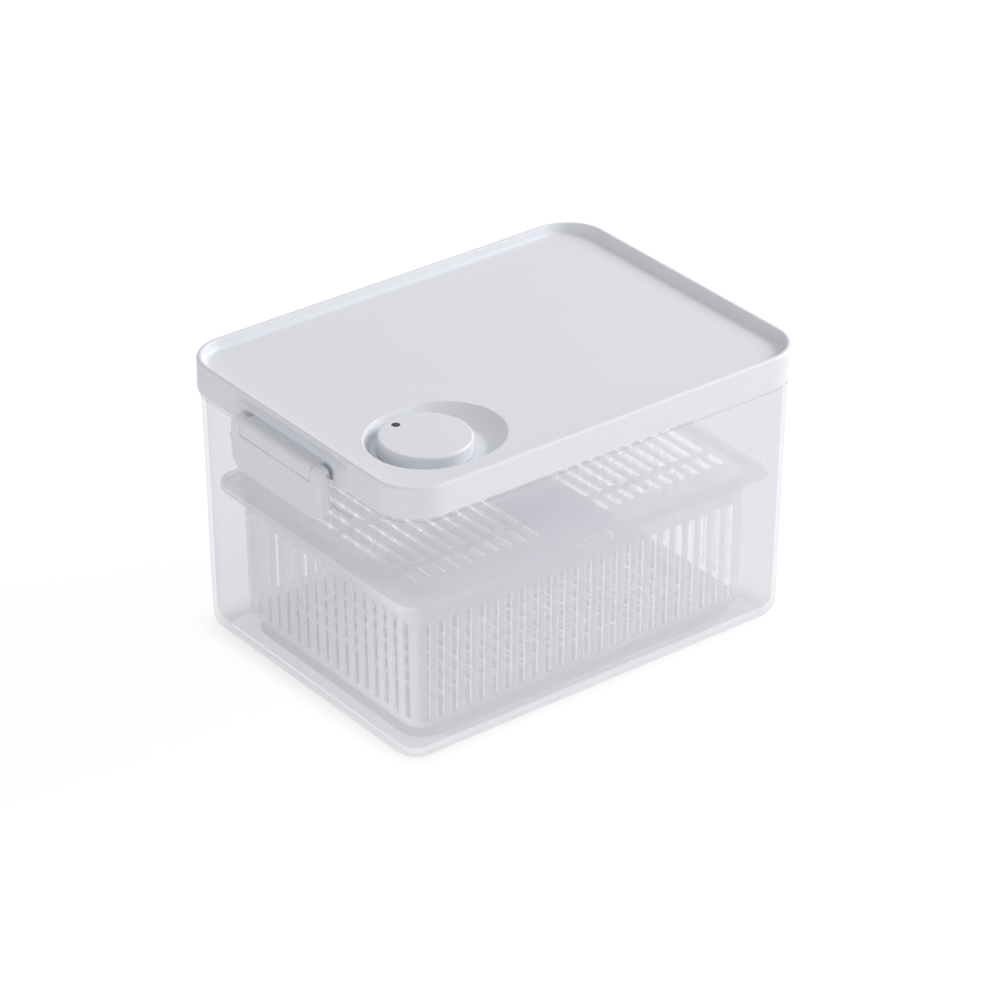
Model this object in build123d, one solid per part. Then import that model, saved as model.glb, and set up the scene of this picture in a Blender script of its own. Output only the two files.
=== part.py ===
"""Fridge storage box: clear tub, latched white lid with a vent dial, slotted basket and cover."""
import os
from math import cos, floor, hypot, radians, sin

from build123d import *

os.makedirs("parts", exist_ok=True)

# Lid envelope
lid_length = 280.0
lid_width = 208.7
lid_corner = 26.2
lid_bottom = 154.8
lid_height = 18.4
lid_top_edge = 1.7
lid_skirt_wall = 2.2

# Tray on top of the lid
tray_depth = 5.5
tray_rim = 2.8
tray_slope = 2.2
tray_fillet = 2.6
tray_lip_edge = 0.9
lid_plate = 2.8
channel_rib = 1.6
channel_rib_depth = 4.6
channel_clearance = 0.5

# Tub
tub_top_inset = 1.9
tub_base_inset = 6.3
tub_base_corner = 15.6
tub_base_fillet = 10.0
tub_wall = 2.4
tub_floor = 5.4
tub_inner_fillet = 7.5
base_recess = 2.4
base_ring = 9.0
flange_inset = 0.6
flange_height = 2.0
flange_edge = 0.4
lid_gap = 0.8
rim_wall = 1.4
rim_clearance = 0.6

# Seal in the channel of the lid
seal_height = 2.0
seal_clearance = 0.2

# Dial, its well and its vent shutter
dial_from_end = 53.4
dial_from_side = 53.05
well_radius = 33.6
well_shift = 13.6
well_floor_radius = 29.8
well_floor_shift = 4.0
well_depth = 7.0
well_wall = 2.2
well_floor_fillet = 1.6
well_edge = 0.9
knob_radius = 26.0
knob_above_tray = 2.3
knob_lift = 0.6
knob_edge = 1.6
knob_wall = 2.2
knob_top = 2.4
hub_radius = 6.5
knob_ribs = 6
rib_wall = 1.4
shaft_radius = 4.5
running_gap = 0.08
washer_height = 1.0
washer_radius = 8.0
spigot_radius = 3.6
spigot_flat = 0.8
shutter_radius = 22.0
shutter_height = 2.0
shutter_gap = 0.3
vent_radius = 15.0
vent_width = 5.0
vent_angle = 76.0
screw_radius = 1.5
screw_length = 9.0
screw_head_radius = 4.2
screw_head_height = 2.2
screw_drive = 2.4
screw_drive_width = 1.0
screw_drive_depth = 1.3
screw_head_edge = 0.7
screw_tip_gap = 0.5
dot_radius = 2.4
dot_depth = 1.2
dot_distance = 19.4
dot_bearing = 107.6
dot_clearance = 0.05

# Latches on the two short sides
latch_proud = 9.0
latch_half = 41.2
latch_bottom = 132.0
latch_top = 163.3
latch_corner = 9.0
latch_wall = 2.2
latch_edge = 0.9
latch_back_gap = 1.4
pivot_depth = 5.8
pivot_z = 159.5
pin_radius = 1.2
lug_half = 32.4
lug_drop = 0.5
lug_clearance = 0.3
lug_wall = 2.0
lug_rib = 2.4
lug_inner_rib_at = 10.4
lug_round = 3.2
knuckle_round = 4.0
knuckle_back_round = 2.0
swing_gap = 0.25
recess_gap = 0.6
scoop_top = 171.5
scoop_depth = 3.2
scoop_back_high = 169.6
scoop_back_low = 167.2
scoop_step = 1.3
scoop_step_z = 165.6
scoop_fade = 12.0
scoop_fade_share = 0.02
catch_half = 55.0
catch_z = 141.0
catch_depth = 3.2
catch_land = 2.0
catch_ramp_width = 1.1
catch_ramp_height = 2.2
catch_slope = 3.6
hook_gap = 0.3
hook_land = 1.2
hook_half = 30.0

# Cover plate over the basket
cover_top = 94.5
cover_plate = 2.0
cover_lip = 4.5
cover_lip_wall = 1.8
cover_end_gap = 5.0
cover_side_gap = 6.1
cover_corner = 13.0
cover_edge = 0.6
cover_overhang_end = 9.9
cover_overhang_side = 7.4
slot_pitch = 9.2
cover_slot_width = 3.6
cover_slot_margin = 21.5
cover_slot_centre = 23.0
cover_slot_reach = 70.0
cover_rib_at = 54.0
cover_rib = 4.0
notch_width = 11.0
notch_depth = 5.0
locator_height = 3.0
locator_wall = 1.6
locator_length = 40.0
locator_clearance = 0.5

# Basket
basket_wall = 1.8
basket_floor = 1.8
basket_foot = 3.0
basket_foot_radius = 6.0
basket_foot_inset = 16.0
basket_corner = 14.0
basket_draft = 1.5
basket_base_edge = 3.0
basket_flange = 2.6
basket_flange_height = 1.6
basket_slot_width = 4.0
basket_slot_top = 16.5
basket_slot_bottom = 6.0
basket_slot_margin = 8.5
drain_slot_width = 4.0
drain_slot_margin = 18.0
drain_slot_rib = 6.0

# Heights and half sizes that follow from the values above
lid_top = lid_bottom + lid_height
tray_floor = lid_top - tray_depth
lid_under = tray_floor - lid_plate
half_x = lid_length / 2
half_y = lid_width / 2
skirt_inset = lid_skirt_wall
rim_inset = skirt_inset + rim_clearance
cavity_inset = rim_inset + rim_wall
flange_top = lid_bottom - lid_gap
flange_under = flange_top - flange_height
rim_top = lid_under - seal_height
dial_x = -half_x + dial_from_end
dial_y = -half_y + dial_from_side
well_floor = tray_floor - well_depth
well_under = well_floor - well_wall
knob_height = tray_floor + knob_above_tray
latch_face = -half_x - latch_proud
pivot_x = latch_face + pivot_depth
lug_bottom = lid_bottom - lug_drop
lug_radius = hypot(pivot_depth, pivot_z - lug_bottom)
recess_floor = pivot_x + latch_top - pivot_z + swing_gap
basket_bottom = tub_floor + basket_foot
basket_top = cover_top - cover_plate


def near(a, b):
    """Whether two lengths are the same, within a thousandth."""
    return abs(a - b) < 0.001


def rounded(inset, radius, z):
    """Rounded rectangle that lies a distance inside the lid outline, at a height."""
    return Plane.XY.offset(z) * RectangleRounded(lid_length - 2 * inset, lid_width - 2 * inset, radius)


def block(inset, radius, z0, z1):
    """Straight rounded block between two heights."""
    return extrude(rounded(inset, radius, z0), z1 - z0)


def taper(low, high):
    """Tapered solid between two sketches."""
    return loft([low, high], ruled=True)


def edges_at(solid, z):
    """Edges that lie flat at a height."""
    found = []
    for e in solid.edges():
        extent = e.bounding_box()
        if near(extent.min.Z, z) and near(extent.max.Z, z):
            found.append(e)
    return found


def edges_within(edges, x0, x1, y0, y1):
    """Those of the edges that lie inside a rectangle seen from above."""
    found = []
    for e in edges:
        low, high = e.bounding_box().min, e.bounding_box().max
        if low.X > x0 and high.X < x1 and low.Y > y0 and high.Y < y1:
            found.append(e)
    return found


def cavity_inset_at(z):
    """Inset of the cavity wall at a height."""
    base = tub_base_inset + tub_wall
    return base + (cavity_inset - base) * (z - tub_floor) / (rim_top - tub_floor)


def along_y(points, half):
    """Solid with a cross-section in X and Z that runs along Y, centred."""
    face = Plane.XZ * make_face(Polyline([(x, z) for x, z in points], close=True))
    return extrude(face, half, both=True)


def bar_y(x, z, radius, y0, y1):
    """Round bar along Y."""
    return Plane((x, y0, z), x_dir=(1, 0, 0), z_dir=(0, 1, 0)) * Cylinder(
        radius, y1 - y0, align=(Align.CENTER, Align.CENTER, Align.MIN))


def box(x0, x1, y0, y1, z0, z1):
    """Box between limits."""
    return Pos((x0 + x1) / 2, (y0 + y1) / 2, (z0 + z1) / 2) * Box(x1 - x0, y1 - y0, z1 - z0)


def disc(x, y, radius, z0, z1):
    """Upright round disc."""
    return Pos(x, y, z0) * Cylinder(radius, z1 - z0, align=(Align.CENTER, Align.CENTER, Align.MIN))


def both_ends(solid):
    """The solid and its mirror image at the other short side."""
    return [solid, mirror(solid, about=Plane.YZ)]


def make_tub():
    corner_top = lid_corner - tub_top_inset
    corner_wall = tub_base_corner - tub_wall
    outer = taper(rounded(tub_base_inset, tub_base_corner, 0),
                  rounded(tub_top_inset, corner_top, flange_under))
    outer = fillet(edges_at(outer, 0), tub_base_fillet)
    flange = block(flange_inset, lid_corner - flange_inset, flange_under, flange_top)
    flange = fillet(edges_at(flange, flange_under) + edges_at(flange, flange_top), flange_edge)
    rim = block(rim_inset, lid_corner - rim_inset, flange_under, rim_top)
    catch = along_y(catch_outline(), catch_half)
    body = outer + [flange, rim] + both_ends(catch)
    cavity = taper(rounded(tub_base_inset + tub_wall, corner_wall, tub_floor),
                   rounded(cavity_inset, lid_corner - cavity_inset, rim_top))
    cavity = fillet(edges_at(cavity, tub_floor), tub_inner_fillet)
    body -= cavity
    body -= block(tub_base_inset + tub_base_fillet + base_ring, tub_base_corner, 0, base_recess)
    return body


def wall_x(z):
    """Outer face of the tub on the latch side at a height."""
    share = z / flange_under
    return -half_x + tub_base_inset + (tub_top_inset - tub_base_inset) * share


def catch_tip():
    return wall_x(catch_z) - catch_depth


def catch_outline():
    """Ridge under the flange that the latch hooks on."""
    tip = catch_tip()
    root = wall_x(catch_z) + tub_wall / 2
    return [(root, catch_z - catch_ramp_height), (tip + catch_ramp_width, catch_z - catch_ramp_height),
            (tip, catch_z), (tip, catch_z + catch_land), (root, catch_z + catch_land + catch_slope)]


def make_lug():
    """Solid of the lug on the skirt that the latch turns on, at the left end."""
    z1 = latch_top
    body = box(latch_face, -half_x + lid_skirt_wall / 2, -lug_half, lug_half, lug_bottom, z1)
    top = [e for e in edges_at(body, z1) if near(e.center().X, latch_face)]
    body = fillet(top, lug_round)
    for y0, y1 in lug_bays():
        body -= box(latch_face + lug_wall, -half_x, y0, y1, lug_bottom, z1 - lug_wall)
    return body


def lug_bays():
    """Hollows of the lug, between its ribs."""
    ribs = [-lug_half, -lug_inner_rib_at - lug_rib / 2, lug_inner_rib_at - lug_rib / 2, lug_half - lug_rib]
    return [(a + lug_rib, b) for a, b in zip(ribs, ribs[1:])]


def scoop_points(share):
    """Back of the hollow over the latch, from the latch's top up, with a share of its full depth."""
    depths = [(recess_floor + half_x, latch_top), (scoop_step, scoop_step_z),
              (scoop_depth, scoop_back_low), (scoop_depth, scoop_back_high), (0, scoop_top)]
    return [(-half_x + share * depth, z) for depth, z in depths]


def scoop_end(y, share):
    """Section of the hollow beside the latch, over the whole height of the skirt."""
    outline = scoop_points(share)
    outline = [(latch_face, lid_bottom), (outline[0][0], lid_bottom)] + outline + [(latch_face, scoop_top)]
    return make_face(Polyline([Vector(x, y, z) for x, z in outline], close=True))


def make_scoop():
    """Hollow in the skirt for the latch, which is deep over the lug and fades out past both arms."""
    half = latch_half + recess_gap
    cut = along_y([(latch_face, latch_top)] + scoop_points(1) + [(latch_face, scoop_top)], half)
    for side in (-1, 1):
        y0, y1 = sorted((side * lug_half, side * half))
        cut += box(latch_face, recess_floor, y0, y1, lid_bottom, latch_top)
        faded = scoop_end(side * (half + scoop_fade), scoop_fade_share)
        cut += taper(scoop_end(side * half, 1), faded)
    return cut


def stadium(radius, shift, z):
    """Outline with two round ends, the first of them round the dial's axis."""
    return Plane.XY.offset(z) * Pos(dial_x + shift / 2, dial_y) * SlotCenterToCenter(shift, 2 * radius)


def vents(z0, z1, turn):
    """Two curved vent slots round the dial's axis."""
    arc = CenterArc((0, 0), vent_radius, turn - vent_angle / 2, vent_angle)
    slot = SlotArc(arc, vent_width)
    slots = Sketch() + slot + Rot(0, 0, 180) * slot
    return Pos(dial_x, dial_y, z0) * extrude(slots, z1 - z0)


def make_lid():
    body = block(0, lid_corner, lid_bottom, lid_top)
    body = fillet(edges_at(body, lid_top), lid_top_edge)
    low = tray_rim + tray_slope
    tray = taper(rounded(low, lid_corner - low, tray_floor),
                 rounded(tray_rim, lid_corner - tray_rim, lid_top))
    body -= fillet(edges_at(tray, tray_floor), tray_fillet)
    lip_x = half_x - tray_rim + tray_lip_edge
    lip_y = half_y - tray_rim + tray_lip_edge
    body = fillet(edges_within(edges_at(body, lid_top), -lip_x, lip_x, -lip_y, lip_y), tray_lip_edge)
    body -= block(skirt_inset, lid_corner - skirt_inset, lid_bottom, lid_under)
    rib_outer = cavity_inset + channel_clearance
    rib_inner = rib_outer + channel_rib
    rib_z = lid_under - channel_rib_depth
    body += block(rib_outer, lid_corner - rib_outer, rib_z, lid_under) - block(
        rib_inner, lid_corner - rib_inner, rib_z, lid_under)
    body += taper(stadium(well_floor_radius + well_wall, well_floor_shift, well_under),
                  stadium(well_radius + well_wall, well_shift, tray_floor - lid_plate / 2))
    well = taper(stadium(well_floor_radius, well_floor_shift, well_floor),
                 stadium(well_radius, well_shift, tray_floor))
    body -= fillet(edges_at(well, well_floor), well_floor_fillet)
    reach = well_radius + well_edge
    mouth = edges_within(edges_at(body, tray_floor), dial_x - reach, dial_x + well_shift + reach,
                         dial_y - reach, dial_y + reach)
    body = fillet(mouth, well_edge)
    body -= disc(dial_x, dial_y, shaft_radius + running_gap, well_under, well_floor)
    body -= vents(well_under, well_floor, 0)
    body += both_ends(make_lug())
    cuts = both_ends(make_scoop()) + both_ends(bar_y(pivot_x, pivot_z, pin_radius, -lug_half, lug_half))
    return body - cuts


def make_seal():
    outer = skirt_inset + seal_clearance
    inner = cavity_inset + channel_clearance - seal_clearance
    ring = block(outer, lid_corner - outer, rim_top, lid_under)
    return ring - block(inner, lid_corner - inner, rim_top, lid_under)


def make_knob():
    z0 = well_floor + knob_lift
    cap = fillet(edges_at(disc(0, 0, knob_radius, z0, knob_height), knob_height), knob_edge)
    cap -= disc(0, 0, knob_radius - knob_wall, z0, knob_height - knob_top)
    hub_z = well_floor + washer_height
    cap += disc(0, 0, hub_radius, hub_z, knob_height - knob_top)
    for i in range(knob_ribs):
        rib = box(hub_radius - 1, knob_radius - knob_wall / 2, -rib_wall / 2, rib_wall / 2,
                  z0 + knob_edge, knob_height - knob_top)
        cap += Rot(0, 0, 360 / knob_ribs * i) * rib
    shoulder = well_under - shutter_gap
    cap += disc(0, 0, shaft_radius, shoulder, hub_z)
    spigot_end = shoulder - shutter_height
    cap += spigot(spigot_end, shoulder, 0)
    cap -= disc(0, 0, screw_radius, spigot_end, spigot_end + screw_length + screw_tip_gap)
    cap -= dot_place() * disc(0, 0, dot_radius + dot_clearance, knob_height - dot_depth, knob_height)
    return Pos(dial_x, dial_y) * cap


def spigot(z0, z1, gap):
    """Round end of the shaft with one flat that turns the shutter."""
    body = disc(0, 0, spigot_radius + gap, z0, z1)
    flat = spigot_radius - spigot_flat + gap
    return body - box(flat, 2 * spigot_radius, -spigot_radius * 2, spigot_radius * 2, z0, z1)


def dot_place():
    return Pos(dot_distance * cos(radians(dot_bearing)), dot_distance * sin(radians(dot_bearing)), 0)


def make_dot():
    return Pos(dial_x, dial_y) * dot_place() * disc(0, 0, dot_radius, knob_height - dot_depth, knob_height)


def make_washer():
    z1 = well_floor + washer_height
    ring = disc(0, 0, washer_radius, well_floor, z1) - disc(0, 0, shaft_radius + running_gap, well_floor, z1)
    return Pos(dial_x, dial_y) * ring


def make_shutter():
    top = well_under - shutter_gap
    plate = disc(0, 0, shutter_radius, top - shutter_height, top)
    plate -= spigot(top - shutter_height, top, running_gap)
    return Pos(dial_x, dial_y) * plate - vents(top - shutter_height, top, 90)


def make_screw():
    top = well_under - shutter_gap - shutter_height
    low = top - screw_head_height
    head = disc(0, 0, screw_head_radius, low, top)
    head = fillet(edges_at(head, low), screw_head_edge)
    half = screw_drive_width / 2
    for turn in (0, 90):
        head -= Rot(0, 0, turn) * box(-screw_drive, screw_drive, -half, half, low, low + screw_drive_depth)
    shank = disc(0, 0, screw_radius, top, top + screw_length)
    return Pos(dial_x, dial_y) * (head + shank)


def latch_outline(inset, x0, x1):
    """Latch seen from the front: straight sides, round lower corners."""
    half = latch_half - inset
    radius = latch_corner - inset
    z0 = latch_bottom + inset
    face = Plane.YZ * make_face([
        Line((-half, latch_top), (-half, z0 + radius)),
        RadiusArc((-half, z0 + radius), (-half + radius, z0), -radius),
        Line((-half + radius, z0), (half - radius, z0)),
        RadiusArc((half - radius, z0), (half, z0 + radius), -radius),
        Line((half, z0 + radius), (half, latch_top)),
        Line((half, latch_top), (-half, latch_top))])
    return Pos(x0, 0, 0) * extrude(face, x1 - x0)


def make_latch():
    """Left latch: a shallow pan that hangs on the pin, with a hook for the ridge of the tub."""
    back = -half_x - latch_back_gap
    inner = latch_face + latch_wall
    body = latch_outline(0, latch_face, back)
    face_edges = [e for e in body.edges() if near(e.bounding_box().max.X, latch_face)]
    body = fillet([e for e in face_edges if not near(e.center().Z, latch_top)], latch_edge)
    body = fillet(knuckle_edge(body, -1), knuckle_round)
    body = fillet(knuckle_edge(body, 1), knuckle_back_round)
    arm_in = lug_half + lug_clearance
    hollow_top = latch_top - latch_wall
    hollow = latch_outline(latch_wall, inner, back) & box(inner, back, -latch_half, latch_half, 0, hollow_top)
    for side in (-1, 1):
        y0, y1 = sorted((side * arm_in, side * (arm_in + latch_wall)))
        hollow -= box(inner, back, y0, y1, catch_z + catch_land + catch_slope, latch_top)
    body -= hollow
    window = box(latch_face - 1, back, -arm_in, arm_in, pivot_z, latch_top + 1)
    window += bar_y(pivot_x, pivot_z, lug_radius + swing_gap, -arm_in, arm_in)
    body -= window
    body += along_y(hook_outline(inner), hook_half)
    body -= bar_y(pivot_x, pivot_z, pin_radius + running_gap, -latch_half - 1, latch_half + 1)
    return body


def knuckle_edge(body, side):
    """Long top edge of the latch, in front of the pin or behind it."""
    middle = [e for e in edges_at(body, latch_top) if near(e.center().Y, 0)]
    return [e for e in middle if side * (e.center().X - pivot_x) > 0]


def hook_outline(inner):
    """Hook on the latch, which lies under the ridge with a gap along the ramp."""
    tip = catch_tip() + catch_ramp_width
    z = catch_z - catch_ramp_height
    out = inner - latch_wall / 2
    return [(out, catch_z - hook_gap), (tip - catch_ramp_width - hook_gap, catch_z - hook_gap),
            (tip - hook_gap, z - hook_gap), (tip - hook_gap, z - hook_gap - hook_land),
            (out, z - hook_gap - hook_land - catch_slope)]


def cover_size():
    """Half length and half width of the cover plate."""
    inset = cavity_inset_at(cover_top)
    return half_x - inset - cover_end_gap, half_y - inset - cover_side_gap


def slab(a, b, radius, z0, z1):
    """Rounded slab from its half sizes."""
    return Pos(0, 0, z0) * extrude(RectangleRounded(2 * a, 2 * b, radius), z1 - z0)


def make_cover():
    a, b = cover_size()
    z0 = cover_top - cover_lip
    body = slab(a, b, cover_corner, z0, cover_top)
    body = fillet(edges_at(body, cover_top), cover_edge)
    under = cover_top - cover_plate
    body -= slab(a - cover_lip_wall, b - cover_lip_wall, cover_corner - cover_lip_wall, z0, under)
    notch = extrude(SlotOverall(notch_width + 2 * notch_depth, 2 * notch_depth), cover_lip)
    body -= [Pos(0, side * b, z0) * notch for side in (-1, 1)]
    body -= cover_slots(a)
    return body + locators()


def cover_slots(a):
    """Two fields of slots with cross ribs, one on each side of the plain middle."""
    count = 1 + floor((a - cover_slot_margin - cover_slot_centre) / slot_pitch)
    spans = [(-cover_slot_reach, -cover_rib_at - cover_rib / 2),
             (-cover_rib_at + cover_rib / 2, -cover_rib / 2),
             (cover_rib / 2, cover_rib_at - cover_rib / 2),
             (cover_rib_at + cover_rib / 2, cover_slot_reach)]
    found = []
    for i in range(count):
        for side in (-1, 1):
            x = side * (a - cover_slot_margin - i * slot_pitch)
            for y0, y1 in spans:
                slot = Rot(0, 0, 90) * SlotOverall(y1 - y0, cover_slot_width)
                found.append(Pos(x, (y0 + y1) / 2, cover_top - cover_plate) * extrude(slot, cover_plate))
    return found


def locators():
    """Ribs under the cover that keep it over the basket."""
    a, b = basket_size()
    x = a - basket_wall - locator_clearance
    y = b - basket_wall - locator_clearance
    z1 = cover_top - cover_plate
    z0 = z1 - locator_height
    half = locator_length / 2
    found = []
    for side in (-1, 1):
        x0, x1 = sorted((side * x, side * (x - locator_wall)))
        y0, y1 = sorted((side * y, side * (y - locator_wall)))
        found.append(box(x0, x1, -half, half, z0, z1))
        found.append(box(-half, half, y0, y1, z0, z1))
    return found


def basket_size():
    """Half length and half width of the basket at its top."""
    a, b = cover_size()
    return a - cover_overhang_end, b - cover_overhang_side


def make_basket():
    a, b = basket_size()
    low = Plane.XY.offset(basket_bottom) * RectangleRounded(
        2 * (a - basket_draft), 2 * (b - basket_draft), basket_corner - basket_draft)
    high = Plane.XY.offset(basket_top) * RectangleRounded(2 * a, 2 * b, basket_corner)
    body = taper(low, high)
    body = fillet(edges_at(body, basket_bottom), basket_base_edge)
    body += slab(a + basket_flange, b + basket_flange, basket_corner + basket_flange,
                 basket_top - basket_flange_height, basket_top)
    inner = a - basket_wall
    inner_y = b - basket_wall
    low = Plane.XY.offset(basket_bottom + basket_floor) * RectangleRounded(
        2 * (inner - basket_draft), 2 * (inner_y - basket_draft), basket_corner - basket_wall - basket_draft)
    high = Plane.XY.offset(basket_top) * RectangleRounded(2 * inner, 2 * inner_y, basket_corner - basket_wall)
    body -= taper(low, high)
    body -= wall_slots(a, b) + drain_slots(a, b)
    feet = [disc(sx * (a - basket_foot_inset), sy * (b - basket_foot_inset), basket_foot_radius,
                 tub_floor, basket_bottom + basket_floor / 2) for sx in (-1, 1) for sy in (-1, 1)]
    return body + feet


def wall_slots(a, b):
    """Upright slots in the long walls, then in the short walls."""
    z0 = basket_bottom + basket_slot_bottom
    z1 = basket_top - basket_slot_top
    half = basket_slot_width / 2
    inside = basket_wall + basket_draft + 1
    found = []
    for x in slot_places(a - basket_slot_margin):
        for side in (-1, 1):
            y0, y1 = sorted((side * (b - inside), side * (b + 1)))
            found.append(box(x - half, x + half, y0, y1, z0, z1))
    for y in slot_places(b - basket_slot_margin):
        for side in (-1, 1):
            x0, x1 = sorted((side * (a - inside), side * (a + 1)))
            found.append(box(x0, x1, y - half, y + half, z0, z1))
    return found


def drain_slots(a, b):
    """Slots in the floor, with a plain rib along the middle."""
    half = drain_slot_width / 2
    reach = b - drain_slot_margin
    found = []
    for x in slot_places(a - drain_slot_margin):
        for side in (-1, 1):
            y0, y1 = sorted((side * drain_slot_rib / 2, side * reach))
            found.append(box(x - half, x + half, y0, y1, basket_bottom, basket_bottom + basket_floor))
    return found


def slot_places(reach):
    """Slot centres at the pitch, spread evenly about the middle."""
    count = floor(reach / slot_pitch)
    return [i * slot_pitch for i in range(-count, count + 1)]


def save(shape, name):
    export_step(shape, f"parts/{name}.step")


latch = make_latch()
pin_left, pin_right = both_ends(bar_y(pivot_x, pivot_z, pin_radius, -latch_half, latch_half))
save(make_tub(), "tub")
save(make_lid(), "lid_shell")
save(make_seal(), "lid_seal")
save(make_knob(), "dial_knob")
save(make_dot(), "dial_dot")
save(make_washer(), "dial_washer")
save(make_shutter(), "dial_shutter")
save(make_screw(), "dial_screw")
save(latch, "latch_left")
save(mirror(latch, about=Plane.YZ), "latch_right")
save(pin_left, "pin_left")
save(pin_right, "pin_right")
save(make_cover(), "cover_plate")
save(make_basket(), "drain_basket")
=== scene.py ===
"""Looks of the fridge storage box: satin white lid, clear tub, and a slotted basket and cover inside it."""
from math import atan2, cos, pi, radians, sin

import bpy
from mathutils import Matrix, Vector


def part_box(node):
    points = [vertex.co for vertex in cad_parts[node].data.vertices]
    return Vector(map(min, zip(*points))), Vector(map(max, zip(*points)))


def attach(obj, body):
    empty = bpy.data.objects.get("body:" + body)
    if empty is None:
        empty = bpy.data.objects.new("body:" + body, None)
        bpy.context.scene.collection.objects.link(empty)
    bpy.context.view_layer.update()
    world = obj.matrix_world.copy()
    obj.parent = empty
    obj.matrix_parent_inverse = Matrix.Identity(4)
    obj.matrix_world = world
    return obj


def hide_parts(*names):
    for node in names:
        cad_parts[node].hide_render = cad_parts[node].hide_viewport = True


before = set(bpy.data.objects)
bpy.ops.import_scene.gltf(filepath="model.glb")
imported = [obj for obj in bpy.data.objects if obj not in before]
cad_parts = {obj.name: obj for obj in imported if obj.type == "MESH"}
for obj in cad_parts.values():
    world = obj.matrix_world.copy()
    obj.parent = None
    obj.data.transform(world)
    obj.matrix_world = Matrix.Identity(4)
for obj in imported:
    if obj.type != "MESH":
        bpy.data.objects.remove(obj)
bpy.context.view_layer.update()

# Camera, from the vanishing lines and corners of the photograph
lid_length = 0.280
view_azimuth = -37.69
view_elevation = 29.584
view_distance = 8.9602 * lid_length
view_aim = (0, 0, 0.3 * lid_length)
view_lens = 161.27
view_sensor = 36.0
view_shift = (0.00487, -0.01156)
clear_layers = 32

# Studio, with strengths at which a colour renders about as it is written; a lamp has a place, size and power
plain_white = (1, 1, 1, 1)
world_low = 0.41
world_high = 0.74
world_bright_side = (0.85, -0.5, 0.15)
lamps = {
    "lamp_right": ((2.3, -0.9, 1.45), 1.1, 52.0),
    "lamp_left": ((-2.3, -0.8, 0.2), 0.5, 11.0),
}

# Floor: to the camera it is mostly a plain white glow, but less so in the shade under the box
floor_half = 6.0
floor_matt = (0.93, 0.93, 0.93, 1)
floor_shaded = (0.76, 0.76, 0.77, 1)
floor_glow = 1.12
floor_glow_share = 0.75
floor_shade_share = 0.6
floor_shade_edges = (0.130, 0.094)
floor_shade_fade = 0.015

# Surfaces: how fine their clouds and grain are, and how much these change the relief, gloss and veil
cloud_scale = 22.0
grain_scale = 2600.0
grain_height = 0.00002
grain_strength = 0.35
grain_gloss = 0.08
plastic_index = 1.49
clear_index = 1.5
clear_cloud_scale = 30.0
clear_cloud_veil = 0.01
clear_cloud_gloss = 0.04
clear_light_passed = 0.9
edge_veil_power = 3.0
flange_veil = 0.05
flange_fade = 0.001

# Shared sizes of the cover plate and the basket, in millimetres from here on, as their solids have them
mm = 0.001
slot_pitch = 9.2
edge_round = 0.5
edge_middle = 0.29 * edge_round
cut_past = 1.0
full_round = 0.01
sharp_angle = 50
even_weight = 100


def box_of(node):
    """Lowest and highest corner of a CAD node, to a thousandth of a millimetre."""
    return [[round(v / mm, 3) for v in corner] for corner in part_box(node)]


# Cover plate
cover_low, cover_high = box_of("cover_plate")
cover_half = cover_high[:2]
cover_top = cover_high[2]
cover_under = cover_top - 2.0
cover_lip_bottom = cover_top - 4.5
cover_lip_wall = 1.8
cover_corner = 13.0
cover_slot_half = 1.8
cover_slot_margin = 21.5
cover_slot_count = 10
cover_slot_reach = 70
cover_ribs = (-54, 0, 54)
cover_rib_half = 2
notch_half = (10.5, 5.0)
locator_bottom = cover_low[2]
locator_half = 20.0
locator_wall = 1.6
locator_gap = 0.5
locator_round = 0.3
locator_sink = 0.5

# Basket, whose half sizes are those of its top outline inside the flange
basket_low, basket_high = box_of("drain_basket")
basket_flange = 2.6
basket_flange_height = 1.6
basket_half = (basket_high[0] - basket_flange, basket_high[1] - basket_flange)
basket_top = basket_high[2]
foot_bottom = basket_low[2]
basket_bottom = foot_bottom + 3.0
basket_corner = 14.0
basket_wall = 1.8
basket_floor = 1.8
basket_draft = 1.5
basket_base_edge = 3.0
basket_base_steps = 4
wall_slot_half = 2.0
wall_slot_low = basket_bottom + 6.0
wall_slot_high = basket_top - 16.5
wall_slot_counts = (25, 17)
drain_slot_half = 2.0
drain_slot_margin = 18.0
drain_slot_count = 21
drain_rib_half = 3.0
slot_corner = 0.8
foot_inset = 16.0
foot_radius = 6.0


def add_node(tree, kind, settings=None, inputs=None):
    """Adds a node: its settings first, then a value or a link for each named socket."""
    made = tree.nodes.new(kind)
    for key, value in (settings or {}).items():
        setattr(made, key, value)
    for key, value in (inputs or {}).items():
        if isinstance(value, Value):
            value = value.socket
        if isinstance(value, bpy.types.NodeSocket):
            tree.links.new(value, made.inputs[key])
        else:
            made.inputs[key].default_value = value
    return made


class Value:
    """A number that varies over a surface. Arithmetic on it adds Math nodes."""

    def __init__(self, tree, socket):
        self.tree = tree
        self.socket = socket

    def maths(self, operation, first, second):
        node = add_node(self.tree, "ShaderNodeMath", {"operation": operation}, {0: first, 1: second})
        return Value(self.tree, node.outputs[0])

    def __add__(self, other):
        return self.maths("ADD", self, other)

    def __rsub__(self, other):
        return self.maths("SUBTRACT", other, self)

    def __mul__(self, other):
        return self.maths("MULTIPLY", self, other)

    def __pow__(self, other):
        return self.maths("POWER", self, other)

    __radd__ = __add__
    __rmul__ = __mul__


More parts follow.
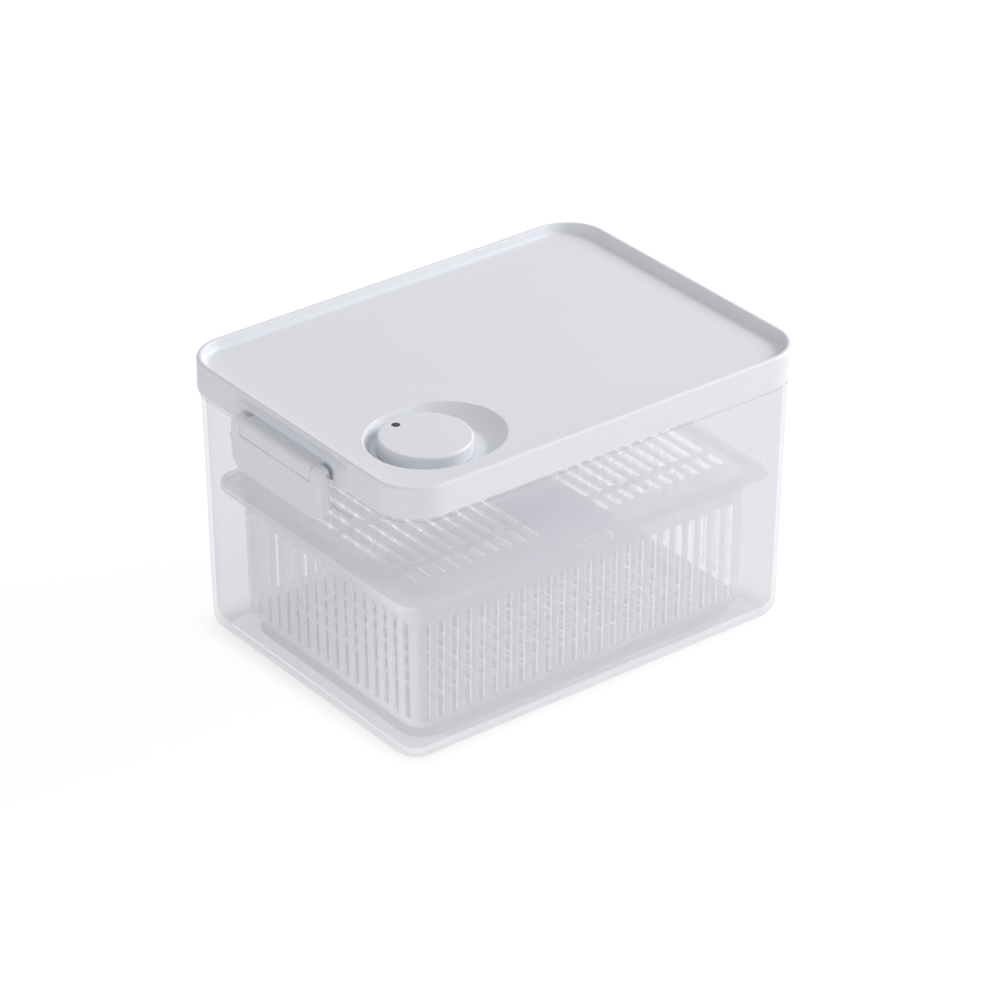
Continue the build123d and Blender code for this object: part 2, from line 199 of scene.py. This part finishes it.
class Finish:
    """The nodes of a material or of the world, which is its owner."""

    def __init__(self, owner):
        self.owner = owner
        owner.use_nodes = True
        self.tree = owner.node_tree
        self.tree.nodes.clear()

    def node(self, kind, settings=None, inputs=None):
        return add_node(self.tree, kind, settings, inputs)

    def value(self, kind, settings=None, inputs=None, output=0):
        return Value(self.tree, self.node(kind, settings, inputs).outputs[output])

    def place(self):
        """Place on the object, in metres."""
        return self.node("ShaderNodeTexCoord").outputs["Object"]

    def ray(self, kind):
        """1 for rays of a kind, such as Camera, and 0 for other rays."""
        return self.value("ShaderNodeLightPath", None, None, "Is " + kind + " Ray")

    def noise(self, scale, detail=2.0):
        return self.value("ShaderNodeTexNoise", None,
                          {"Vector": self.place(), "Scale": scale, "Detail": detail})

    def tint(self, factor, first, second):
        """Colour between two colours, which are sockets 6 and 7 of the node."""
        mix = self.node("ShaderNodeMix", {"data_type": "RGBA"}, {0: factor, 6: first, 7: second})
        return mix.outputs[2]

    def shader(self, kind, inputs):
        return self.node("ShaderNodeBsdf" + kind, None, inputs).outputs[0]

    def blend(self, factor, first, second):
        """Shader between two shaders."""
        return self.node("ShaderNodeMixShader", None, {0: factor, 1: first, 2: second}).outputs[0]

    def surface(self, shader):
        self.node("ShaderNodeOutputMaterial", None, {"Surface": shader})
        return self.owner


def new_finish(name):
    return Finish(bpy.data.materials.new(name))


def satin_plastic(name, colour, shade, roughness):
    """Moulded plastic in faint clouds of two colours, with a fine spark-eroded grain."""
    finish = new_finish(name)
    cloud = finish.noise(cloud_scale)
    grain = finish.noise(grain_scale, 1.0)
    relief = finish.node("ShaderNodeBump", None, {
        "Height": grain, "Distance": grain_height, "Strength": grain_strength})
    return finish.surface(finish.shader("Principled", {
        "Base Color": finish.tint(cloud, colour, shade),
        "Roughness": roughness + grain_gloss * grain,
        "IOR": plastic_index,
        "Normal": relief.outputs[0]}))


def clear_plastic(name, colour, tint, veil, edge_veil, roughness, shine, milk, flange_at=1.0):
    """Clear moulded plastic: see-through head on, with a pale veil that thickens towards the edges.

    Milk is the share of the veil that passes light on from the far side. Most light on its way to other
    surfaces passes the plastic plainly, so that what stands inside is lit too. Above the height flange_at
    the wall is doubled by a flange, so it is a little cloudier and keeps its shadow.
    """
    finish = new_finish(name)
    facing = finish.value("ShaderNodeLayerWeight", None, {"Blend": 0.5}, "Facing")
    cloud = finish.noise(clear_cloud_scale)
    height = finish.node("ShaderNodeSeparateXYZ", None, {0: finish.place()}).outputs["Z"]
    flange = finish.value("ShaderNodeMapRange", None, {
        "Value": height, "From Min": flange_at - flange_fade, "From Max": flange_at + flange_fade})
    amount = veil + edge_veil * facing ** edge_veil_power + clear_cloud_veil * cloud + flange_veil * flange
    gloss = finish.shader("Principled", {
        "Base Color": colour,
        "Roughness": roughness + clear_cloud_gloss * cloud,
        "Specular IOR Level": shine,
        "IOR": clear_index})
    pale = finish.blend(milk, gloss, finish.shader("Translucent", {"Color": colour}))
    seen = finish.blend(amount, finish.shader("Transparent", {"Color": tint}), pale)
    passed = clear_light_passed * (finish.ray("Shadow") + finish.ray("Diffuse")) * (1.0 - flange)
    return finish.surface(finish.blend(passed, seen, finish.shader("Transparent", {"Color": plain_white})))


def dark_plastic(name):
    """Black plastic with a fine uneven gloss."""
    finish = new_finish(name)
    return finish.surface(finish.shader("Principled", {
        "Base Color": (0.02, 0.02, 0.022, 1),
        "Roughness": 0.4 + 0.1 * finish.noise(1500.0)}))


def metal(name):
    """Plain steel with an uneven gloss."""
    finish = new_finish(name)
    return finish.surface(finish.shader("Principled", {
        "Base Color": (0.62, 0.62, 0.63, 1),
        "Metallic": 1.0,
        "Roughness": 0.25 + 0.15 * finish.noise(900.0)}))


def white_background():
    """World that lights the object plainly, and that the camera, gloss and clear pieces see as white."""
    world = bpy.data.worlds.new("studio")
    bpy.context.scene.world = world
    finish = Finish(world)
    way = finish.node("ShaderNodeTexCoord").outputs["Generated"]
    side = finish.value("ShaderNodeVectorMath", {"operation": "DOT_PRODUCT"},
                        {0: way, 1: world_bright_side}, "Value")
    sky = finish.value("ShaderNodeMapRange", None,
                       {"Value": side, "From Min": -1.0, "To Min": world_low, "To Max": world_high})
    seen = finish.ray("Camera")
    for kind in ("Transmission", "Glossy"):
        seen = seen.maths("MAXIMUM", seen, finish.ray(kind))
    level = finish.value("ShaderNodeMapRange", None, {"Value": seen, "To Min": sky, "To Max": 1.0})
    back = finish.node("ShaderNodeBackground", None, {"Color": plain_white, "Strength": level})
    finish.node("ShaderNodeOutputWorld", None, {"Surface": back.outputs[0]})


def floor_finish():
    """Matt floor that glows to the camera, with a soft shaded patch under the box."""
    finish = new_finish("pale_floor")
    apart = finish.node("ShaderNodeVectorMath", {"operation": "ABSOLUTE"}, {0: finish.place()})
    sides = finish.node("ShaderNodeSeparateXYZ", None, {0: apart.outputs[0]})
    under = 1.0
    for side, edge in enumerate(floor_shade_edges):
        under = under * finish.value("ShaderNodeMapRange", {"interpolation_type": "SMOOTHSTEP"}, {
            "Value": sides.outputs[side],
            "From Min": edge + floor_shade_fade,
            "From Max": edge - floor_shade_fade})
    matt = finish.shader("Diffuse", {"Color": finish.tint(under, floor_matt, floor_shaded)})
    glow = finish.node("ShaderNodeEmission", None, {"Color": plain_white, "Strength": floor_glow})
    share = floor_glow_share * finish.ray("Camera") * (1.0 - floor_shade_share * under)
    return finish.surface(finish.blend(share, matt, glow.outputs[0]))


def pale_floor():
    mesh = bpy.data.meshes.new("floor")
    h = floor_half
    mesh.from_pydata([(-h, -h, 0), (h, -h, 0), (h, h, 0), (-h, h, 0)], [], [(0, 1, 2, 3)])
    mesh.materials.append(floor_finish())
    floor = bpy.data.objects.new("floor", mesh)
    bpy.context.scene.collection.objects.link(floor)


def soft_lamps():
    for name, (place, size, power) in lamps.items():
        data = bpy.data.lights.new(name, "AREA")
        data.size = size
        data.energy = power
        lamp = bpy.data.objects.new(name, data)
        lamp.location = place
        lamp.rotation_euler = (Vector(view_aim) - Vector(place)).to_track_quat("-Z", "Y").to_euler()
        bpy.context.scene.collection.objects.link(lamp)


def place_camera():
    data = bpy.data.cameras.new("camera")
    data.lens = view_lens
    data.sensor_width = view_sensor
    data.shift_x, data.shift_y = view_shift
    camera = bpy.data.objects.new("camera", data)
    turn, lift = radians(view_azimuth), radians(view_elevation)
    back = Vector((sin(turn) * cos(lift), -cos(turn) * cos(lift), sin(lift)))
    camera.location = Vector(view_aim) + back * view_distance
    camera.rotation_euler = (-back).to_track_quat("-Z", "Y").to_euler()
    bpy.context.scene.collection.objects.link(camera)
    bpy.context.scene.camera = camera


def dress(finishes):
    """Gives each CAD node its material."""
    for name, material in finishes.items():
        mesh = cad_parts[name].data
        mesh.materials.clear()
        mesh.materials.append(material)


def outline(half, corner, steps=6):
    """Rounded rectangle, anticlockwise seen from above."""
    points = []
    for quarter in range(4):
        x = (half[0] - corner) * (1, -1, -1, 1)[quarter]
        y = (half[1] - corner) * (1, 1, -1, -1)[quarter]
        for step in range(steps + 1):
            turn = pi / 2 * (quarter + step / steps)
            points.append((x + corner * cos(turn), y + corner * sin(turn)))
    return points


def solid(half, corner, levels, place=Matrix()):
    """Points, in metres, and faces of a closed body through rounded rectangles.

    Each level says how far its rectangle stands inside the given one, and its height. The levels follow
    the surface of the body, so those that go down again after its top make a hollow.
    """
    points, faces = [], []
    for by, z in levels:
        ring = outline((half[0] - by, half[1] - by), corner - by)
        points += [place @ Vector((x, y, z)) * mm for x, y in ring]
    count = len(points) // len(levels)
    for level in range(len(levels) - 1):
        for i in range(count):
            a, b = level * count + i, level * count + (i + 1) % count
            faces.append((a, b, b + count, a + count))
    faces.append(tuple(reversed(range(count))))
    faces.append(tuple(range(len(points) - count, len(points))))
    return points, faces


def mesh_of(name, solids):
    """One mesh of several closed bodies."""
    points, faces = [], []
    for more_points, more_faces in solids:
        faces += [tuple(len(points) + i for i in face) for face in more_faces]
        points += more_points
    mesh = bpy.data.meshes.new(name)
    mesh.from_pydata(points, [], faces)
    return mesh


def tool_of(name, solids):
    """Object that a row of cuts or of added pieces repeats."""
    return bpy.data.objects.new(name, mesh_of(name, solids))


def soft_edge(by, z, inward, upward):
    """Levels round an edge, from its level face to its upright face; the signs say where these lie."""
    return [(by + inward * edge_round, z),
            (by + inward * edge_middle, z + upward * edge_middle),
            (by, z + upward * edge_round)]


def slot_cutter(half, corner, thickness, place):
    """Cutter for a slot through a wall whose outer face is at height 0, with rounded rims on both faces."""
    return solid(half, corner, [
        (-edge_round, -thickness - cut_past),
        *soft_edge(0, -thickness, -1, 1),
        *reversed(soft_edge(0, 0, -1, -1)),
        (-edge_round, cut_past)], place)


def row_tree(operation):
    """Nodes that repeat a tool along a straight row and cut it from, or join it to, the piece."""
    tree = bpy.data.node_groups.new("row_" + operation.lower(), "GeometryNodeTree")
    for name, kind in (("Piece", "Geometry"), ("Tool", "Object"), ("Count", "Int"), ("Start", "Vector"),
                       ("Step", "Vector"), ("Finish", "Material")):
        tree.interface.new_socket(name, in_out="INPUT", socket_type="NodeSocket" + kind)
    tree.interface.new_socket("Piece", in_out="OUTPUT", socket_type="NodeSocketGeometry")
    given = add_node(tree, "NodeGroupInput").outputs
    tool = add_node(tree, "GeometryNodeObjectInfo", None, {"Object": given["Tool"]})
    line = add_node(tree, "GeometryNodeMeshLine", None, {
        "Count": given["Count"], "Start Location": given["Start"], "Offset": given["Step"]})
    copies = add_node(tree, "GeometryNodeInstanceOnPoints", None, {
        "Points": line.outputs["Mesh"], "Instance": tool.outputs["Geometry"]})
    row = add_node(tree, "GeometryNodeRealizeInstances", None, {0: copies.outputs[0]})
    base = "Mesh 1" if operation == "DIFFERENCE" else "Mesh 2"
    change = add_node(tree, "GeometryNodeMeshBoolean", {"operation": operation, "solver": "EXACT"},
                      {base: given["Piece"]})
    tree.links.new(row.outputs[0], change.inputs["Mesh 2"])
    whole = add_node(tree, "GeometryNodeRealizeInstances", None, {0: change.outputs[0]})
    dressed = add_node(tree, "GeometryNodeSetMaterial", None, {
        "Geometry": whole.outputs[0], "Material": given["Finish"]})
    add_node(tree, "NodeGroupOutput", None, {0: dressed.outputs[0]})
    return tree


def with_rows(name, body, rows, material):
    """Piece made of a plain mesh and its rows of (operation, tool, count, start, step), evenly shaded."""
    piece = bpy.data.objects.new(name, body)
    bpy.context.scene.collection.objects.link(piece)
    for operation, tool, count, start, step in rows:
        tree = row_trees[operation]
        row = piece.modifiers.new(tool.name, "NODES")
        row.node_group = tree
        values = {"Tool": tool, "Count": count, "Start": [v * mm for v in start],
                  "Step": [v * mm for v in step], "Finish": material}
        for item in tree.interface.items_tree:
            if item.in_out == "INPUT" and item.name in values:
                row[item.identifier] = values[item.name]
    mesh = bpy.data.meshes.new_from_object(piece.evaluated_get(bpy.context.evaluated_depsgraph_get()))
    piece.modifiers.clear()
    piece.data = mesh
    mesh.name = name
    mesh.shade_smooth()
    mesh.set_sharp_from_angle(angle=radians(sharp_angle))
    even = piece.modifiers.new("even_shading", "WEIGHTED_NORMAL")
    even.weight = even_weight
    even.keep_sharp = True
    return piece


def cover_slots():
    """Cutter for one line of slots across the cover, parted by the ribs."""
    rib_sides = [at + side * cover_rib_half for at in cover_ribs for side in (-1, 1)]
    ends = [-cover_slot_reach, *rib_sides, cover_slot_reach]
    return tool_of("cover_slots", [
        slot_cutter((cover_slot_half, (high - low) / 2), cover_slot_half, cover_top - cover_under,
                    Matrix.Translation((0, (low + high) / 2, cover_top)))
        for low, high in zip(ends[::2], ends[1::2])])


def locator(half):
    """Rib under the cover, sunk a little into it."""
    return tool_of("cover_locators", [solid(half, 2 * locator_round, [
        (locator_round, locator_bottom),
        (0, locator_bottom + locator_round),
        (0, cover_under + locator_sink)])])


def cover_piece(material):
    """Plate with a lip round it, lines of slots, two finger notches and four locating ribs."""
    length, width = cover_half
    body = mesh_of("cover_body_shape", [solid(cover_half, cover_corner, [
        (cover_lip_wall, cover_under),
        *reversed(soft_edge(cover_lip_wall, cover_lip_bottom, -1, 1)),
        *soft_edge(0, cover_lip_bottom, 1, 1),
        *reversed(soft_edge(0, cover_top, 1, -1))])])
    slots = cover_slots()
    notch = tool_of("cover_notch", [solid(notch_half, notch_half[1] - full_round, [
        (0, cover_lip_bottom - cut_past), (0, cover_top + cut_past)])])
    first = length - cover_slot_margin - (cover_slot_count - 1) * slot_pitch
    x, y = (half - basket_wall - locator_gap - locator_wall / 2 for half in basket_half)
    rows = [("DIFFERENCE", slots, cover_slot_count, (side * first, 0, 0), (side * slot_pitch, 0, 0))
            for side in (-1, 1)]
    rows += [("DIFFERENCE", notch, 2, (0, -width, 0), (0, 2 * width, 0)),
             ("UNION", locator((locator_half, locator_wall / 2)), 2, (0, -y, 0), (0, 2 * y, 0)),
             ("UNION", locator((locator_wall / 2, locator_half)), 2, (-x, 0, 0), (2 * x, 0, 0))]
    return with_rows("slotted_cover", body, rows, material)


def basket_inset(z):
    """How far the leaning outer wall stands inside its top outline."""
    return basket_draft * (basket_top - z) / (basket_top - basket_bottom)


def basket_levels():
    """Levels of the basket: base edge, outer wall, flange, rim and inner wall."""
    levels = []
    for step in range(basket_base_steps + 1):
        turn = pi / 2 / basket_base_steps * step
        z = basket_bottom + basket_base_edge * (1 - cos(turn))
        levels.append((basket_inset(z) + basket_base_edge * (1 - sin(turn)), z))
    low = basket_top - basket_flange_height
    return [*levels, (basket_inset(low), low),
            *soft_edge(-basket_flange, low, 1, 1),
            *reversed(soft_edge(-basket_flange, basket_top, 1, -1)),
            *soft_edge(basket_wall, basket_top, -1, -1),
            (basket_wall + basket_draft, basket_bottom + basket_floor)]


def wall_slot(turn, reach):
    """Cutter for one upright slot, in the wall that faces the given way."""
    middle = (wall_slot_low + wall_slot_high) / 2
    lean = atan2(basket_draft, basket_top - basket_bottom)
    place = (Matrix.Rotation(turn, 4, "Z") @ Matrix.Translation((0, -reach + basket_inset(middle), middle))
             @ Matrix.Rotation(pi / 2 + lean, 4, "X"))
    half = (wall_slot_half, (wall_slot_high - wall_slot_low) / 2)
    return slot_cutter(half, slot_corner, basket_wall, place)


def drain_slot(side):
    """Cutter for one floor slot, from the middle rib towards the wall on a side."""
    low, high = drain_rib_half, basket_half[1] - drain_slot_margin
    return slot_cutter((drain_slot_half, (high - low) / 2), slot_corner, basket_floor,
                       Matrix.Translation((0, side * (low + high) / 2, basket_bottom + basket_floor)))


def foot(side):
    """Round foot, sunk into the floor of the basket."""
    return solid((foot_radius, foot_radius), foot_radius - full_round, [
        (edge_round, foot_bottom),
        (0, foot_bottom + edge_round),
        (0, basket_bottom + basket_floor / 2)],
        Matrix.Translation((0, side * (basket_half[1] - foot_inset), 0)))


def slot_row(cutter, count, along):
    """Row of cuts about the middle of the basket."""
    first = -(count - 1) / 2 * slot_pitch
    return "DIFFERENCE", cutter, count, [first * v for v in along], [slot_pitch * v for v in along]


def basket_piece(material):
    """Basket with a flange, upright slots in its walls, slots in its floor, and four feet."""
    length, width = basket_half
    body = mesh_of("basket_body_shape", [solid(basket_half, basket_corner, basket_levels())])
    long_wall = tool_of("long_wall_slots", [wall_slot(turn, width) for turn in (0, pi)])
    short_wall = tool_of("short_wall_slots", [wall_slot(turn, length) for turn in (pi / 2, -pi / 2)])
    drain = tool_of("drain_slots", [drain_slot(side) for side in (-1, 1)])
    feet = tool_of("basket_feet", [foot(side) for side in (-1, 1)])
    foot_x = length - foot_inset
    rows = [slot_row(long_wall, wall_slot_counts[0], (1, 0, 0)),
            slot_row(short_wall, wall_slot_counts[1], (0, 1, 0)),
            slot_row(drain, drain_slot_count, (1, 0, 0)),
            ("UNION", feet, 2, (-foot_x, 0, 0), (2 * foot_x, 0, 0))]
    return with_rows("slotted_basket", body, rows, material)


white = satin_plastic("satin_white", (0.75, 0.76, 0.81, 1), (0.77, 0.78, 0.83, 1), roughness=0.34)
clear = clear_plastic("clear_tub", (0.90, 0.89, 0.92, 1), (0.93, 0.927, 0.94, 1), veil=0.01, edge_veil=0.14,
                      roughness=0.08, shine=0.5, milk=0.3, flange_at=0.150)
inner = clear_plastic("clear_inner", (0.97, 0.963, 0.985, 1), (0.97, 0.967, 0.976, 1), veil=0.44,
                      edge_veil=0.08, roughness=0.36, shine=0.25, milk=0.65)
seal = satin_plastic("seal_rubber", (0.72, 0.73, 0.76, 1), (0.70, 0.71, 0.74, 1), roughness=0.6)
dress({
    "tub": clear,
    "lid_shell": white,
    "dial_knob": white,
    "dial_washer": white,
    "dial_shutter": white,
    "latch_left": white,
    "latch_right": white,
    "lid_seal": seal,
    "dial_dot": dark_plastic("dot_black"),
    "dial_screw": metal("screw_steel"),
    "pin_left": metal("pin_steel"),
    "pin_right": metal("pin_steel_right"),
})
row_trees = {operation: row_tree(operation) for operation in ("DIFFERENCE", "UNION")}
for piece, node, body in ((cover_piece(inner), "cover_plate", "cover_body"),
                          (basket_piece(inner), "drain_basket", "basket_body")):
    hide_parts(node)
    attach(piece, body)
place_camera()
white_background()
pale_floor()
soft_lamps()
bpy.context.scene.view_settings.view_transform = "Standard"
bpy.context.scene.cycles.transparent_max_bounces = clear_layers
